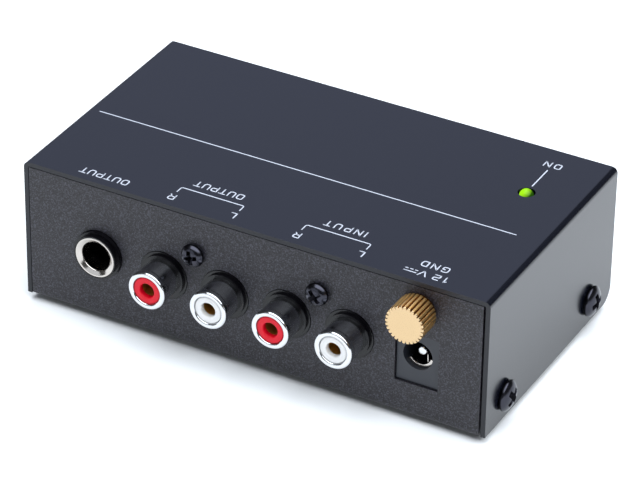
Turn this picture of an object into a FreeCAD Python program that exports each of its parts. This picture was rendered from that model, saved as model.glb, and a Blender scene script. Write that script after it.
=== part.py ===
import FreeCAD, Part
import os
from math import cos, hypot, pi, sin

# Phono preamp in a folded sheet-steel case. All sizes are in millimetres.
# X runs to the right along the connector panel, Y runs from that panel to the far panel and
# Z is up. The origin is the middle of the whole outline, on the surface that the feet stand on.
Vec = FreeCAD.Vector

# Folded case
CASE_W = 104.6              # across the cover's side walls
CASE_D = 57.2               # connector panel to far panel, outside
CASE_H = 31.6               # underside of the bottom plate to the top
SHEET = 1.0                 # steel thickness
BEND_R = 1.3                # outside radius of every fold
LEFT_GAP = 0.15             # between the cover's left wall and the chassis, which sits to the left
RIGHT_GAP = 0.45
TOP_GAP = 0.15
WALL_LIFT = 0.4             # the side walls end this far above the underside
WALL_CORNER_R = 3.5         # lower far corner of each side wall
FLANGE_H = 9.5              # side flanges that take the cover screws
FLANGE_RELIEF = 2.0         # gap between a flange and the panel beside it

# Feet
FOOT_H = 1.5
FOOT_R = 4.0
FOOT_TOP_R = 4.4            # the stuck-on face is a little wider
FOOT_EDGE = 0.5
FOOT_INSET = 13.0           # foot's centre to the case's edges

# Pan-head screws, with the thread's core as a plain shank
SCREW_R = 1.45
SCREW_HEAD_R = 2.5
SCREW_HEAD_H = 2.0
SCREW_RIM_H = 0.9           # straight rim under the head's slope
SCREW_SLOPE = 0.9           # from the rim in to the head's flat top
TAPPED_CLEAR = 0.05         # screw in its tapped hole
THROUGH_CLEAR = 0.25        # screw in a plain hole
COVER_HEAD_R = 3.3          # the cover's own screws have wider heads
COVER_SCREW_PAST = 0.4      # screw's end beyond the flange
COVER_SCREW_UP = 5.8        # above the underside
COVER_SCREW_NEAR = 8.2      # from the connector panel
COVER_SCREW_SPACING = 38.5

# Circuit board
BOARD_LIFT = 5.2            # bottom plate to the board's underside
BOARD_T = 1.6
BOARD_EDGE_GAP = 0.7        # to the flanges and panels
BOARD_SCREW_NEAR_Y = 17.0   # front pair, behind the RCA sockets, from the connector panel
BOARD_SCREW_FAR = 5.0       # rear pair, to the board's far edge
BOARD_SCREW_INSET = 3.3     # rear pair, to the board's side edges
BOARD_SCREW_L = 5.0
STANDOFF_FLATS = 5.0        # across the hexagon's flats
STANDOFF_SPIGOT_R = 2.0     # clinched end in the bottom plate
FIT_CLEAR = 0.1             # around fixed pieces in holes

# Phone jack, 6.35 mm
JACK_X = -34.8
JACK_AXIS_UP = 7.4          # above the board
JACK_BORE_R = 3.2
JACK_BORE_DEPTH = 31.0      # from the nose's front
JACK_BODY_W = 15.4
JACK_BODY_H = 14.8
JACK_BODY_D = 31.0          # behind the panel
JACK_BODY_CHAMFER = 1.2
JACK_NOSE_WALL = 0.25       # plastic around the ferrule
JACK_COLLAR_R = 5.2         # wider part of the nose, through the panel
JACK_COLLAR_REACH = 0.95    # in front of the panel
JACK_NOSE_REACH = 2.0       # in front of the panel
FERRULE_R = 4.5
FERRULE_L = 3.5
FERRULE_BEVEL = 0.6         # depth of the lead-in cone
CONTACT_T = 0.5
CONTACT_W = 3.0
CONTACT_BACKS = (7.0, 16.0, 26.0)       # sleeve, ring and tip, behind the panel's face
CONTACT_SIDES = (-1, 1, -1)

# Paired RCA sockets
RCA_X = -19.8               # first socket
RCA_PITCH = 14.0
RCA_AXIS_UP = 7.0           # above the board
RCA_REACH = 7.0             # shell's front in front of the panel
RCA_SHELL_R = 4.15
RCA_LIP_R = 0.7             # rolled lip, drawn as two slopes
RCA_SHELL_SEAT = 3.0        # shell's length behind the panel's face
RCA_SEAT_R = 3.75           # shell's narrower end, inside the housing
RCA_INSULATOR_R = 2.95
RCA_INSULATOR_SEAT = 5.0
RCA_HOLE_R = 1.65
RCA_HOLE_DEPTH = 15.0       # from the front
RCA_CONTACT_T = 0.45
RCA_CONTACT_FROM = 0.8      # contact's mouth behind the insulator's face
RCA_FIT = 0.05              # between the nested rings
RCA_COLLAR_R = 5.35         # part of the housing that fills the panel's hole
RCA_COLLAR_REACH = 0.15
RCA_STEP_R = 4.75
RCA_STEP_REACH = 0.8
RCA_BODY_SIDE = 6.1         # housing's side beyond a socket's axis
RCA_BODY_D = 11.5
RCA_BODY_OVER = 5.9         # housing's top above the axes
RCA_BODY_EDGE = 0.8
RCA_SCREW_UP = 7.2          # fixing screw above the axes
RCA_SCREW_L = 7.0
RCA_TOWER_W = 8.0
RCA_TOWER_OVER = 3.2        # tower's top above the screw

# Barrel power socket
DC_X = 37.0
DC_AXIS_UP = 6.5
DC_BODY_W = 9.1
DC_BODY_H = 11.3
DC_FACE_BACK = 0.5          # face behind the panel's face
DC_FLANGE_D = 3.4
DC_BODY_D = 13.6
DC_HOLE_R = 3.2
DC_HOLE_DEPTH = 10.0
DC_PIN_R = 1.05
DC_PIN_BACK = 1.7           # pin's tip behind the face
DC_GAP = 0.2                # around the face in its cut-out
DC_SPRING_T = 0.35
DC_SPRING_W = 2.6
DC_SPRING_BACK = 1.6        # spring's front behind the face
DC_SPRING_L = 6.0

# Ground terminal
GROUND_X = 37.2
GROUND_DOWN = 6.3           # screw's axis below the top
GROUND_HEAD_R = 4.15        # over the knurl's crests
GROUND_HEAD_L = 5.7
KNURL_COUNT = 30
KNURL_DEPTH = 0.45
KNURL_CHAMFER = 0.3
GROUND_SHANK_R = 1.95
GROUND_SHANK_L = 8.5
GROUND_CLEAR = 0.05         # running clearance in the bush
GROUND_WASHER_R = 3.7
GROUND_WASHER_T = 0.6
BUSH_R = 3.0
BUSH_L = 3.0
BUSH_SPIGOT_R = 2.5

# Power lamp
LED_X = 40.45
LED_Y = 39.6                # from the connector panel
LED_R = 1.5
LED_FLANGE_R = 1.9
LED_FLANGE_T = 1.0
LED_L = 5.2
LED_OUT = 0.7               # dome's top above the cover
LED_HOLE_CLEAR = 0.2
LED_LEAD_R = 0.25
LED_LEAD_SPACING = 1.6
SPACER_R = 2.4
SPACER_LEAD_CLEAR = 0.15

# Parts on the board: places are X, and the distance behind the connector panel's face
OP_AMP_PLACES = ((-6.0, 32.5), (14.0, 32.5))
OP_AMP_L = 9.6
OP_AMP_W = 6.4
OP_AMP_H = 3.2
OP_AMP_LIFT = 0.6
OP_AMP_PINS = 4             # on each side
OP_AMP_PITCH = 2.54
REGULATOR_PLACE = (32.0, 27.0)
REGULATOR_W = 10.0
REGULATOR_BODY_H = 9.0
REGULATOR_BODY_D = 4.4
REGULATOR_TAB_H = 6.3
REGULATOR_TAB_T = 1.3
REGULATOR_LEG_H = 3.0
REGULATOR_HOLE_R = 1.8
CAPACITOR_PLACES = ((-40.0, 39.0), (-31.0, 39.0), (-22.0, 39.0), (22.0, 43.0), (31.0, 43.0))
CAPACITOR_R = 3.5
CAPACITOR_H = 11.5
CAPACITOR_GROOVE = 0.3
FILM_FIRST = (-18.0, 24.0)
FILM_STEP = 9.0
FILM_COUNT = 5
FILM_W = 7.2
FILM_D = 3.5
FILM_H = 7.5
FILM_EDGE = 0.4
RESISTOR_FIRST = (-14.0, 43.0)
RESISTOR_STEP = 4.2
RESISTOR_COUNT = 8
RESISTOR_R = 1.1
RESISTOR_L = 6.0
RESISTOR_LIFT = 1.6         # body's axis above the board
LEAD_W = 0.5
LEAD_SPAN = 9.0
DIODE_PLACE = (30.0, 19.0)
DIODE_R = 1.35
DIODE_L = 4.8

# Worked-out planes
LEFT = -CASE_W / 2
RIGHT = CASE_W / 2
PANEL_Y = (RCA_REACH - CASE_D) / 2      # connector panel's outer face
FAR_Y = PANEL_Y + CASE_D
BASE_Z = FOOT_H                         # underside of the bottom plate
FLOOR_Z = BASE_Z + SHEET
TOP_Z = BASE_Z + CASE_H
PANEL_TOP_Z = TOP_Z - SHEET - TOP_GAP
INNER_LEFT = LEFT + SHEET + LEFT_GAP    # outsides of the chassis flanges
INNER_RIGHT = RIGHT - SHEET - RIGHT_GAP
WALL_Z = BASE_Z + WALL_LIFT
BOARD_Z = FLOOR_Z + BOARD_LIFT
BOARD_TOP_Z = BOARD_Z + BOARD_T
BOARD_LEFT = INNER_LEFT + SHEET + BOARD_EDGE_GAP
BOARD_RIGHT = INNER_RIGHT - SHEET - BOARD_EDGE_GAP
BOARD_NEAR_Y = PANEL_Y + SHEET + BOARD_EDGE_GAP
BOARD_FAR_Y = FAR_Y - SHEET - BOARD_EDGE_GAP
JACK_Z = BOARD_TOP_Z + JACK_AXIS_UP
RCA_Z = BOARD_TOP_Z + RCA_AXIS_UP
RCA_SCREW_Z = RCA_Z + RCA_SCREW_UP
DC_Z = BOARD_TOP_Z + DC_AXIS_UP
GROUND_Z = TOP_Z - GROUND_DOWN
COVER_SCREW_Z = BASE_Z + COVER_SCREW_UP
COVER_SCREW_L = 2 * SHEET + RIGHT_GAP + COVER_SCREW_PAST
JACK_NOSE_R = FERRULE_R + JACK_NOSE_WALL
COVER_SCREW_YS = (PANEL_Y + COVER_SCREW_NEAR, PANEL_Y + COVER_SCREW_NEAR + COVER_SCREW_SPACING)
LED_HOLE_R = LED_R + LED_HOLE_CLEAR
CUT_OVER = 1.0                          # how far a cutting tool runs past a face
ROOT_HALF = 0.5 ** 0.5                  # sine and cosine of 45 degrees


def box(low, high):
    """Block between two opposite corners."""
    size = [high[i] - low[i] for i in range(3)]
    return Part.makeBox(size[0], size[1], size[2], Vec(*low))


def fillet(shape, radius, direction, keep):
    """Round the straight edges along one axis (0, 1 or 2) whose middle passes the test."""
    edges = []
    for edge in shape.Edges:
        if len(edge.Vertexes) != 2:
            continue
        a = edge.Vertexes[0].Point
        b = edge.Vertexes[1].Point
        run = abs(b[direction] - a[direction])
        middle = (a + b) * 0.5
        if abs(run - edge.Length) < 1e-6 and keep(middle):
            edges.append(edge)
    return shape.makeFillet(radius, edges)


def profile(*path):
    """Closed outline of (radius, height) points; a pair of points is an arc's middle and end."""
    def at(point):
        return Vec(point[0], 0, point[1])

    edges = []
    here = path[0]
    for step in path[1:]:
        if isinstance(step[0], tuple):
            middle, end = step
            edges.append(Part.Arc(at(here), at(middle), at(end)).toShape())
        else:
            end = step
            edges.append(Part.LineSegment(at(here), at(end)).toShape())
        here = end
    if hypot(here[0] - path[0][0], here[1] - path[0][1]) > 1e-9:
        edges.append(Part.LineSegment(at(here), at(path[0])).toShape())
    return Part.Wire(edges)


def turned(*path):
    """Solid of revolution about Z."""
    return Part.Face(profile(*path)).revolve(Vec(0, 0, 0), Vec(0, 0, 1), 360)


def round_over(radius, height, edge):
    """Arc of a rounded outer rim, from its side up to its face."""
    middle = (radius - edge + edge * ROOT_HALF, height - edge + edge * ROOT_HALF)
    return (middle, (radius - edge, height))


def facing_out(shape, x, z, y=PANEL_Y):
    """Turn a shape built along +Z to face out of the connector panel, at (x, z)."""
    shape.rotate(Vec(0, 0, 0), Vec(1, 0, 0), 90)
    shape.translate(Vec(x, y, z))
    return shape


def panel_cutter(radius, x, z):
    """Round tool through the connector panel."""
    return facing_out(Part.makeCylinder(radius, SHEET + 2 * CUT_OVER, Vec(0, 0, -SHEET - CUT_OVER)), x, z)


def placed(shape, x, y, z):
    shape.translate(Vec(x, y, z))
    return shape


def pan_screw(length, head_r=SCREW_HEAD_R):
    """Screw along Z, with its head's underside at the origin and its head up."""
    return turned((0, -length), (SCREW_R, -length), (SCREW_R, 0), (head_r, 0),
                  (head_r, SCREW_RIM_H), (head_r - SCREW_SLOPE, SCREW_HEAD_H), (0, SCREW_HEAD_H))


def hexagon(flats, height):
    """Hexagonal bar along Z from the origin."""
    corner = flats / 3 ** 0.5
    points = [Vec(corner * cos(i * pi / 3), corner * sin(i * pi / 3), 0) for i in range(7)]
    return Part.Face(Part.makePolygon(points)).extrude(Vec(0, 0, height))


def make_top_cover():
    """Folded cover: the top and both side walls, with one rounded corner on each wall."""
    outer = box((LEFT, PANEL_Y, WALL_Z), (RIGHT, FAR_Y, TOP_Z))
    outer = fillet(outer, BEND_R, 1, lambda m: m.z > TOP_Z - 0.1)
    outer = fillet(outer, WALL_CORNER_R, 0, lambda m: m.z < WALL_Z + 0.1 and m.y > FAR_Y - 0.1)
    inner = box((LEFT + SHEET, PANEL_Y - CUT_OVER, WALL_Z - CUT_OVER),
                (RIGHT - SHEET, FAR_Y + CUT_OVER, TOP_Z - SHEET))
    inner = fillet(inner, BEND_R - SHEET, 1, lambda m: m.z > TOP_Z - SHEET - 0.1)
    cover = outer.cut(inner)
    for y in COVER_SCREW_YS:
        hole = Part.makeCylinder(SCREW_R + THROUGH_CLEAR, CASE_W + 2 * CUT_OVER,
                                 Vec(LEFT - CUT_OVER, y, COVER_SCREW_Z), Vec(1, 0, 0))
        cover = cover.cut(hole)
    led_hole = Part.makeCylinder(LED_HOLE_R, SHEET + 2 * CUT_OVER,
                                 Vec(LED_X, PANEL_Y + LED_Y, TOP_Z - SHEET - CUT_OVER))
    return cover.cut(led_hole)


def folded_panel(outer_y, into):
    """One upright panel with its fold and the strip of bottom plate in front of the flanges."""
    strip = SHEET + FLANGE_RELIEF
    near, far = sorted((outer_y, outer_y + into * strip))
    outer = box((INNER_LEFT, near, BASE_Z), (INNER_RIGHT, far, PANEL_TOP_Z))
    outer = fillet(outer, BEND_R, 0, lambda m: m.z < BASE_Z + 0.1 and abs(m.y - outer_y) < 0.1)
    inside_y = outer_y + into * SHEET
    near, far = sorted((inside_y, outer_y + into * (strip + CUT_OVER)))
    inner = box((INNER_LEFT - CUT_OVER, near, FLOOR_Z),
                (INNER_RIGHT + CUT_OVER, far, PANEL_TOP_Z + CUT_OVER))
    inner = fillet(inner, BEND_R - SHEET, 0, lambda m: m.z < FLOOR_Z + 0.1 and abs(m.y - inside_y) < 0.1)
    return outer.cut(inner)


def flanged_tray():
    """Bottom plate between the panels, with a flange folded up at each side."""
    near = PANEL_Y + SHEET + FLANGE_RELIEF
    far = FAR_Y - SHEET - FLANGE_RELIEF
    outer = box((INNER_LEFT, near, BASE_Z), (INNER_RIGHT, far, BASE_Z + FLANGE_H))
    outer = fillet(outer, BEND_R, 1, lambda m: m.z < BASE_Z + 0.1)
    inner = box((INNER_LEFT + SHEET, near - CUT_OVER, FLOOR_Z),
                (INNER_RIGHT - SHEET, far + CUT_OVER, BASE_Z + FLANGE_H + CUT_OVER))
    inner = fillet(inner, BEND_R - SHEET, 1, lambda m: m.z < FLOOR_Z + 0.1)
    return outer.cut(inner)


def make_base_chassis():
    """Folded chassis: connector panel, bottom, far panel and two low side flanges."""
    chassis = folded_panel(PANEL_Y, 1).fuse([folded_panel(FAR_Y, -1), flanged_tray()]).removeSplitter()
    cutters = [panel_cutter(JACK_COLLAR_R + FIT_CLEAR, JACK_X, JACK_Z)]
    for x in rca_xs():
        cutters.append(panel_cutter(RCA_COLLAR_R + FIT_CLEAR, x, RCA_Z))
    for x in rca_screw_xs():
        cutters.append(panel_cutter(SCREW_R + THROUGH_CLEAR, x, RCA_SCREW_Z))
    cutters.append(panel_cutter(BUSH_SPIGOT_R + TAPPED_CLEAR, GROUND_X, GROUND_Z))
    cutters.append(box((DC_X - DC_BODY_W / 2 - DC_GAP, PANEL_Y - CUT_OVER, BOARD_TOP_Z - DC_GAP),
                       (DC_X + DC_BODY_W / 2 + DC_GAP, PANEL_Y + SHEET + CUT_OVER,
                        BOARD_TOP_Z + DC_BODY_H + DC_GAP)))
    for y in COVER_SCREW_YS:
        cutters.append(Part.makeCylinder(SCREW_R + TAPPED_CLEAR, CASE_W, Vec(LEFT, y, COVER_SCREW_Z),
                                         Vec(1, 0, 0)))
    for x, y in board_screw_places():
        cutters.append(Part.makeCylinder(STANDOFF_SPIGOT_R + TAPPED_CLEAR, SHEET + 2 * CUT_OVER,
                                         Vec(x, y, BASE_Z - CUT_OVER)))
    return chassis.cut(cutters)


def board_screw_places():
    """Two screws behind the RCA sockets, where plugs push, and two in the far corners."""
    near = [(x, PANEL_Y + BOARD_SCREW_NEAR_Y) for x in rca_screw_xs()]
    far_xs = (BOARD_LEFT + BOARD_SCREW_INSET, BOARD_RIGHT - BOARD_SCREW_INSET)
    return near + [(x, BOARD_FAR_Y - BOARD_SCREW_FAR) for x in far_xs]


def rca_xs():
    return [RCA_X + i * RCA_PITCH for i in range(4)]


def rca_screw_xs():
    """One fixing screw midway between the two sockets of each pair."""
    xs = rca_xs()
    return [(xs[0] + xs[1]) / 2, (xs[2] + xs[3]) / 2]


def make_cover_screws():
    screws = []
    for y in COVER_SCREW_YS:
        for side in (-1, 1):
            screw = pan_screw(COVER_SCREW_L, COVER_HEAD_R)
            screw.rotate(Vec(0, 0, 0), Vec(0, 1, 0), side * 90)
            screws.append(placed(screw, side * CASE_W / 2, y, COVER_SCREW_Z))
    return screws


def make_rubber_feet():
    feet = []
    for x in (LEFT + FOOT_INSET, RIGHT - FOOT_INSET):
        for y in (PANEL_Y + FOOT_INSET, FAR_Y - FOOT_INSET):
            foot = turned((0, 0), (FOOT_R - FOOT_EDGE, 0), (FOOT_R, FOOT_EDGE),
                          (FOOT_TOP_R, FOOT_H), (0, FOOT_H))
            feet.append(placed(foot, x, y, 0))
    return feet


def make_circuit_board():
    board = box((BOARD_LEFT, BOARD_NEAR_Y, BOARD_Z), (BOARD_RIGHT, BOARD_FAR_Y, BOARD_TOP_Z))
    for x, y in board_screw_places():
        board = board.cut(Part.makeCylinder(SCREW_R + THROUGH_CLEAR, BOARD_T + 2 * CUT_OVER,
                                            Vec(x, y, BOARD_Z - CUT_OVER)))
    return board


def make_board_standoffs():
    """Hexagonal posts whose round ends are clinched in the bottom plate, flush outside."""
    posts = []
    for x, y in board_screw_places():
        post = placed(hexagon(STANDOFF_FLATS, BOARD_LIFT), 0, 0, SHEET)
        post = post.fuse(Part.makeCylinder(STANDOFF_SPIGOT_R, SHEET + CUT_OVER))
        bore = Part.makeCylinder(SCREW_R + TAPPED_CLEAR, BOARD_LIFT + CUT_OVER, Vec(0, 0, SHEET))
        posts.append(placed(post.cut(bore), x, y, BASE_Z))
    return posts


def make_board_screws():
    return [placed(pan_screw(BOARD_SCREW_L), x, y, BOARD_TOP_Z) for x, y in board_screw_places()]


def jack_window_cutter(side, back):
    """Slot in one side of the phone jack for a contact spring's arm."""
    x = JACK_X
    reach = sorted((x, x + side * (JACK_BODY_W / 2 + CUT_OVER)))
    return box((reach[0], PANEL_Y + back - CONTACT_W / 2 - FIT_CLEAR, JACK_Z - CONTACT_T / 2 - FIT_CLEAR),
               (reach[1], PANEL_Y + back + CONTACT_W / 2 + FIT_CLEAR, JACK_Z + CONTACT_T / 2 + FIT_CLEAR))


def make_phone_jack_housing():
    """Moulded body behind the panel, with a round nose through it and a stepped bore."""
    x = JACK_X
    body = box((x - JACK_BODY_W / 2, PANEL_Y + SHEET, BOARD_TOP_Z),
               (x + JACK_BODY_W / 2, PANEL_Y + SHEET + JACK_BODY_D, BOARD_TOP_Z + JACK_BODY_H))
    top_edges = [e for e in body.Edges
                 if abs(e.Vertexes[0].Z - e.Vertexes[1].Z) < 1e-6 and e.Vertexes[0].Z > BOARD_TOP_Z + 1]
    body = body.makeChamfer(JACK_BODY_CHAMFER, top_edges)
    nose = turned((0, -SHEET - CUT_OVER), (JACK_COLLAR_R, -SHEET - CUT_OVER),
                  (JACK_COLLAR_R, JACK_COLLAR_REACH), (JACK_NOSE_R, JACK_COLLAR_REACH),
                  (JACK_NOSE_R, JACK_NOSE_REACH), (0, JACK_NOSE_REACH))
    nose = facing_out(nose, x, JACK_Z)
    seat_r = FERRULE_R + TAPPED_CLEAR
    bore = turned((0, CUT_OVER), (seat_r, CUT_OVER), (seat_r, -FERRULE_L), (JACK_BORE_R, -FERRULE_L),
                  (JACK_BORE_R, -JACK_BORE_DEPTH), (0, -JACK_BORE_DEPTH))
    bore = facing_out(bore, x, JACK_Z, PANEL_Y - JACK_NOSE_REACH)
    windows = [jack_window_cutter(s, b) for s, b in zip(CONTACT_SIDES, CONTACT_BACKS)]
    return body.fuse(nose).removeSplitter().cut([bore] + windows)


def make_phone_jack_ferrule():
    """Plated ring in the nose with a lead-in cone for the plug."""
    ring = turned((JACK_BORE_R, -FERRULE_L), (FERRULE_R, -FERRULE_L), (FERRULE_R, 0),
                  (FERRULE_R - TAPPED_CLEAR, 0), (JACK_BORE_R, -FERRULE_BEVEL))
    return facing_out(ring, JACK_X, JACK_Z, PANEL_Y - JACK_NOSE_REACH)


def make_phone_jack_contacts():
    """Sleeve, ring and tip springs, each up one side and in through its window to the bore."""
    springs = []
    for side, back in zip(CONTACT_SIDES, CONTACT_BACKS):
        wall = JACK_BODY_W / 2
        z_low = BOARD_TOP_Z
        z_up = JACK_Z + CONTACT_T / 2
        section = [(wall, z_low), (wall + CONTACT_T, z_low), (wall + CONTACT_T, z_up),
                   (JACK_BORE_R, z_up), (JACK_BORE_R, z_up - CONTACT_T), (wall, z_up - CONTACT_T)]
        points = [Vec(JACK_X + side * u, PANEL_Y + back - CONTACT_W / 2, z) for u, z in section]
        spring = Part.Face(Part.makePolygon(points + points[:1])).extrude(Vec(0, CONTACT_W, 0))
        springs.append(spring)
    return springs


def make_rca_housing(first):
    """Moulded block for two sockets, with a collar for each and a tower for the fixing screw."""
    xs = rca_xs()[first:first + 2]
    screw_x = (xs[0] + xs[1]) / 2
    back = PANEL_Y + SHEET
    body = box((xs[0] - RCA_BODY_SIDE, back, BOARD_TOP_Z),
               (xs[1] + RCA_BODY_SIDE, back + RCA_BODY_D, RCA_Z + RCA_BODY_OVER))
    body = fillet(body, RCA_BODY_EDGE, 1, lambda m: m.z > RCA_Z)
    tower = box((screw_x - RCA_TOWER_W / 2, back, BOARD_TOP_Z),
                (screw_x + RCA_TOWER_W / 2, back + RCA_BODY_D, RCA_SCREW_Z + RCA_TOWER_OVER))
    tower = fillet(tower, RCA_BODY_EDGE, 1, lambda m: m.z > RCA_SCREW_Z)
    pieces = [tower]
    cutters = []
    for x in xs:
        collar = turned((0, -SHEET - CUT_OVER), (RCA_COLLAR_R, -SHEET - CUT_OVER),
                        (RCA_COLLAR_R, RCA_COLLAR_REACH), (RCA_STEP_R, RCA_COLLAR_REACH),
                        (RCA_STEP_R, RCA_STEP_REACH), (0, RCA_STEP_REACH))
        pieces.append(facing_out(collar, x, RCA_Z))
        shell_r = RCA_SEAT_R + RCA_FIT
        insulator_r = RCA_INSULATOR_R + RCA_FIT
        front = RCA_STEP_REACH + CUT_OVER
        bore = turned((0, front), (shell_r, front), (shell_r, -RCA_SHELL_SEAT),
                      (insulator_r, -RCA_SHELL_SEAT), (insulator_r, -RCA_INSULATOR_SEAT),
                      (RCA_HOLE_R + RCA_CONTACT_T + RCA_FIT, -RCA_INSULATOR_SEAT),
                      (RCA_HOLE_R + RCA_CONTACT_T + RCA_FIT, RCA_REACH - RCA_HOLE_DEPTH),
                      (0, RCA_REACH - RCA_HOLE_DEPTH))
        cutters.append(facing_out(bore, x, RCA_Z))
    screw_bore = Part.makeCylinder(SCREW_R + TAPPED_CLEAR, RCA_SCREW_L + CUT_OVER,
                                   Vec(0, 0, -RCA_SCREW_L - CUT_OVER))
    cutters.append(facing_out(screw_bore, screw_x, RCA_SCREW_Z))
    return body.fuse(pieces).removeSplitter().cut(cutters)


def make_rca_shell(x):
    """Plated tube with a rolled lip, whose shoulder stands on the housing's step."""
    inner = RCA_INSULATOR_R + RCA_FIT
    shell = turned((inner, -RCA_SHELL_SEAT), (RCA_SEAT_R, -RCA_SHELL_SEAT),
                   (RCA_SEAT_R, RCA_STEP_REACH), (RCA_SHELL_R, RCA_STEP_REACH),
                   (RCA_SHELL_R, RCA_REACH - RCA_LIP_R),
                   (RCA_SHELL_R - RCA_LIP_R / 4, RCA_REACH - RCA_LIP_R / 4),
                   (RCA_SHELL_R - RCA_LIP_R, RCA_REACH), (inner, RCA_REACH))
    return facing_out(shell, x, RCA_Z)


def make_rca_insulator(x):
    """Coloured ring that fills the shell and holds the centre contact."""
    mouth = RCA_REACH - RCA_CONTACT_FROM
    wide = RCA_HOLE_R + RCA_CONTACT_T + RCA_FIT
    ring = turned((wide, -RCA_INSULATOR_SEAT), (RCA_INSULATOR_R, -RCA_INSULATOR_SEAT),
                  (RCA_INSULATOR_R, RCA_REACH), (RCA_HOLE_R, RCA_REACH), (RCA_HOLE_R, mouth),
                  (wide, mouth))
    return facing_out(ring, x, RCA_Z)


def make_rca_centre_contacts():
    tubes = []
    for x in rca_xs():
        front = RCA_REACH - RCA_CONTACT_FROM
        back = RCA_REACH - RCA_HOLE_DEPTH
        tube = turned((RCA_HOLE_R, back), (RCA_HOLE_R + RCA_CONTACT_T, back),
                      (RCA_HOLE_R + RCA_CONTACT_T, front), (RCA_HOLE_R, front))
        tubes.append(facing_out(tube, x, RCA_Z))
    return tubes


def make_rca_housing_screws():
    return [facing_out(pan_screw(RCA_SCREW_L), x, RCA_SCREW_Z) for x in rca_screw_xs()]


def make_dc_socket_housing():
    """Square-faced front block and a round-topped barrel behind it."""
    x = DC_X
    half = DC_BODY_W / 2
    face_y = PANEL_Y + DC_FACE_BACK
    front = box((x - half, face_y, BOARD_TOP_Z), (x + half, face_y + DC_FLANGE_D, BOARD_TOP_Z + DC_BODY_H))
    barrel = Part.makeCylinder(half, DC_BODY_D, Vec(x, face_y, DC_Z), Vec(0, 1, 0))
    foot = box((x - half, face_y, BOARD_TOP_Z), (x + half, face_y + DC_BODY_D, DC_Z))
    hole = Part.makeCylinder(DC_HOLE_R, DC_HOLE_DEPTH + CUT_OVER, Vec(x, face_y - CUT_OVER, DC_Z), Vec(0, 1, 0))
    pin_seat = Part.makeCylinder(DC_PIN_R + TAPPED_CLEAR, DC_BODY_D, Vec(x, face_y, DC_Z), Vec(0, 1, 0))
    return front.fuse([barrel, foot]).removeSplitter().cut([hole, pin_seat])


def make_dc_socket_pin():
    tip = -DC_PIN_BACK
    pin = turned((0, -DC_BODY_D), (DC_PIN_R, -DC_BODY_D), (DC_PIN_R, tip - DC_PIN_R / 2),
                 (DC_PIN_R / 2, tip), (0, tip))
    return facing_out(pin, DC_X, DC_Z, PANEL_Y + DC_FACE_BACK)


def make_dc_socket_spring():
    """Curved leaf along the bottom of the hole that grips the plug's barrel."""
    outer_r = DC_HOLE_R
    inner_r = DC_HOLE_R - DC_SPRING_T
    half = DC_SPRING_W / 2

    def on_arc(radius, u):
        return Vec(u, -(radius ** 2 - u ** 2) ** 0.5, 0)

    section = Part.Wire([
        Part.Arc(on_arc(outer_r, -half), on_arc(outer_r, 0), on_arc(outer_r, half)).toShape(),
        Part.LineSegment(on_arc(outer_r, half), on_arc(inner_r, half)).toShape(),
        Part.Arc(on_arc(inner_r, half), on_arc(inner_r, 0), on_arc(inner_r, -half)).toShape(),
        Part.LineSegment(on_arc(inner_r, -half), on_arc(outer_r, -half)).toShape()])
    leaf = Part.Face(section).extrude(Vec(0, 0, DC_SPRING_L))
    leaf.translate(Vec(0, 0, -DC_SPRING_BACK - DC_SPRING_L))
    return facing_out(leaf, DC_X, DC_Z, PANEL_Y + DC_FACE_BACK)


def make_ground_bush():
    """Threaded bush clinched in the panel from inside, bore as a plain cylinder."""
    bore = GROUND_SHANK_R + GROUND_CLEAR
    bush = turned((bore, -SHEET - BUSH_L), (BUSH_R, -SHEET - BUSH_L), (BUSH_R, -SHEET),
                  (BUSH_SPIGOT_R, -SHEET), (BUSH_SPIGOT_R, 0), (bore, 0))
    return facing_out(bush, GROUND_X, GROUND_Z)


def make_captive_washer():
    bore = GROUND_SHANK_R + GROUND_CLEAR
    washer = turned((bore, 0), (GROUND_WASHER_R, 0), (GROUND_WASHER_R, GROUND_WASHER_T),
                    (bore, GROUND_WASHER_T))
    return facing_out(washer, GROUND_X, GROUND_Z)


def knurled_bar(tip_r, length):
    """Straight-knurled bar along Z from the origin: one pointed ridge per pitch."""
    points = []
    for i in range(KNURL_COUNT):
        for step, radius in ((0, tip_r), (0.5, tip_r - KNURL_DEPTH)):
            angle = 2 * pi * (i + step) / KNURL_COUNT
            points.append(Vec(radius * cos(angle), radius * sin(angle), 0))
    return Part.Face(Part.makePolygon(points + points[:1])).extrude(Vec(0, 0, length))


def make_ground_thumbscrew():
    """Brass thumb screw: a knurled head with a chamfered front on a plain shank."""
    limit = turned((0, 0), (GROUND_HEAD_R, 0), (GROUND_HEAD_R, GROUND_HEAD_L - KNURL_CHAMFER),
                   (GROUND_HEAD_R - KNURL_CHAMFER, GROUND_HEAD_L), (0, GROUND_HEAD_L))
    head = knurled_bar(GROUND_HEAD_R, GROUND_HEAD_L).common(limit)
    shank = Part.makeCylinder(GROUND_SHANK_R, GROUND_SHANK_L + CUT_OVER, Vec(0, 0, -GROUND_SHANK_L))
    return facing_out(head.fuse(shank), GROUND_X, GROUND_Z, PANEL_Y - GROUND_WASHER_T)


def make_power_led():
    """Domed lamp on two leads that reach down to the board."""
    base_z = TOP_Z + LED_OUT - LED_L
    side = LED_L - LED_R
    bulb = turned((0, 0), (LED_FLANGE_R, 0), (LED_FLANGE_R, LED_FLANGE_T), (LED_R, LED_FLANGE_T),
                  (LED_R, side), round_over(LED_R, LED_L, LED_R))
    leads = [Part.makeCylinder(LED_LEAD_R, base_z - BOARD_TOP_Z + LED_FLANGE_T / 2,
                               Vec(s * LED_LEAD_SPACING / 2, 0, BOARD_TOP_Z - base_z)) for s in (-1, 1)]
    return placed(bulb.fuse(leads), LED_X, PANEL_Y + LED_Y, base_z)


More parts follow.
